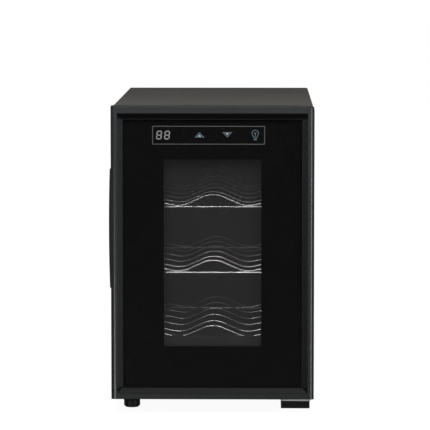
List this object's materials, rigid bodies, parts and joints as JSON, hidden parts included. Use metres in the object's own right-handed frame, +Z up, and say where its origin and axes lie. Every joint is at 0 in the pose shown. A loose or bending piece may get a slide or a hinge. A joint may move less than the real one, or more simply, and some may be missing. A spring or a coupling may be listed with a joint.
{
  "type": "wine cooler",
  "caption": "Countertop thermoelectric wine cooler with a black framed glass door, clear window, touch panel and sliding chrome wire racks.",
  "frame": {"origin": "centre of the overall footprint at floor level, under the cabinet's mid-plane", "axes": "+Z up; the door faces -Y; +X is to the viewer's right, where the hinge is"},
  "size_m": [0.2546, 0.505, 0.383],
  "materials": {
    "wrap_paint": "satin",
    "pan_steel": "matte",
    "zinc_sheet": "satin",
    "hinge_steel": "satin",
    "rack_wire": "polished",
    "screw_steel": "satin",
    "door_black": "satin",
    "black_plastic": "matte",
    "liner_grey": "satin",
    "cream_foam": "matte",
    "door_glass": "gloss",
    "clear_glass": "gloss",
    "black_print": "gloss",
    "gasket_rubber": "matte",
    "magnet_strip": "matte",
    "sink_aluminium": "satin",
    "spacer_aluminium": "satin",
    "peltier_ceramic": "matte",
    "board_green": "satin",
    "coil_yellow": "satin",
    "can_black": "gloss",
    "pin_brass": "polished",
    "milky_lens": "gloss",
    "nylon_white": "satin",
    "digit_plastic": "gloss"
  },
  "bodies": {
    "cabinet": {"cabinet_wrap": "wrap_paint", "base_pan": "pan_steel", "back_panel": "zinc_sheet", "insulation_foam": "cream_foam", "inner_liner": "liner_grey", "lamp_lens": "milky_lens", "lamp_board": "board_green", "cold_heat_sink": "sink_aluminium", "cold_fan_frame": "black_plastic", "cold_block": "sink_aluminium", "peltier_module": "peltier_ceramic", "cold_block_collar": "gasket_rubber", "hot_heat_sink": "sink_aluminium", "hot_fan_frame": "black_plastic", "hot_fan_screws": "screw_steel", "cold_fan_screws": "screw_steel", "clamp_screws": "screw_steel", "duct_cover": "liner_grey", "temperature_sensor": "nylon_white", "rear_cover": "black_plastic", "rear_cover_screws": "screw_steel", "power_supply_board": "board_green", "board_standoffs": "pin_brass", "power_transformer": "coil_yellow", "board_capacitors": "can_black", "board_heat_sink": "sink_aluminium", "power_inlet": "black_plastic", "inlet_pins": "pin_brass", "foot_nut": "zinc_sheet", "rear_feet": "black_plastic", "top_hinge_bracket": "hinge_steel", "top_hinge_pin": "hinge_steel", "top_hinge_screws": "screw_steel", "bottom_hinge_plate": "hinge_steel", "bottom_hinge_pin": "hinge_steel", "hinge_washer": "nylon_white", "hinge_foot_block": "black_plastic", "bottom_hinge_screws": "screw_steel", "shelf_bottom": "rack_wire"},
    "door": {"door_frame": "door_black", "door_outer_glass": "door_glass", "glass_print": "black_print", "window_spacer": "spacer_aluminium", "door_inner_glass": "clear_glass", "door_foam": "cream_foam", "door_liner": "liner_grey", "door_gasket": "gasket_rubber", "gasket_magnets": "magnet_strip", "display_housing": "black_plastic", "display_board": "board_green", "digit_display": "digit_plastic", "touch_springs": "screw_steel", "door_grip": "black_plastic", "top_hinge_bush": "nylon_white", "bottom_hinge_bush": "nylon_white"},
    "top_rack": {"shelf_top": "rack_wire"},
    "middle_rack": {"shelf_middle": "rack_wire"},
    "hot_rotor": {"hot_fan_rotor": "black_plastic"},
    "cold_rotor": {"cold_fan_rotor": "black_plastic"},
    "foot": {"levelling_foot": "black_plastic"}
  },
  "joints": [
    {"name": "door_hinge", "type": "hinge", "parent": "cabinet", "child": "door", "pos_m": [0.113, -0.2325, 0.2], "axis": [0, 0, 1], "range_deg": [0, 120]},
    {"name": "top_rack_slide", "type": "slide", "parent": "cabinet", "child": "top_rack", "axis": [0, -1, 0], "range_m": [0, 0.0629]},
    {"name": "middle_rack_slide", "type": "slide", "parent": "cabinet", "child": "middle_rack", "axis": [0, -1, 0], "range_m": [0, 0.0629]},
    {"name": "hot_fan_spin", "type": "hinge", "parent": "cabinet", "child": "hot_rotor", "pos_m": [0, 0.2275, 0.25], "axis": [0, 1, 0], "continuous": true},
    {"name": "cold_fan_spin", "type": "hinge", "parent": "cabinet", "child": "cold_rotor", "pos_m": [0, 0.1275, 0.25], "axis": [0, 1, 0], "continuous": true},
    {"name": "foot_turn", "type": "hinge", "parent": "cabinet", "child": "foot", "pos_m": [-0.1028, -0.1895, 0.01], "axis": [0, 0, 1], "range_deg": [-360, 360]}
  ],
  "couplings": [
    {"joint": "top_rack_slide", "follows": "door_hinge", "m_per_rad": 0.03},
    {"joint": "middle_rack_slide", "follows": "door_hinge", "m_per_rad": 0.03}
  ]
}
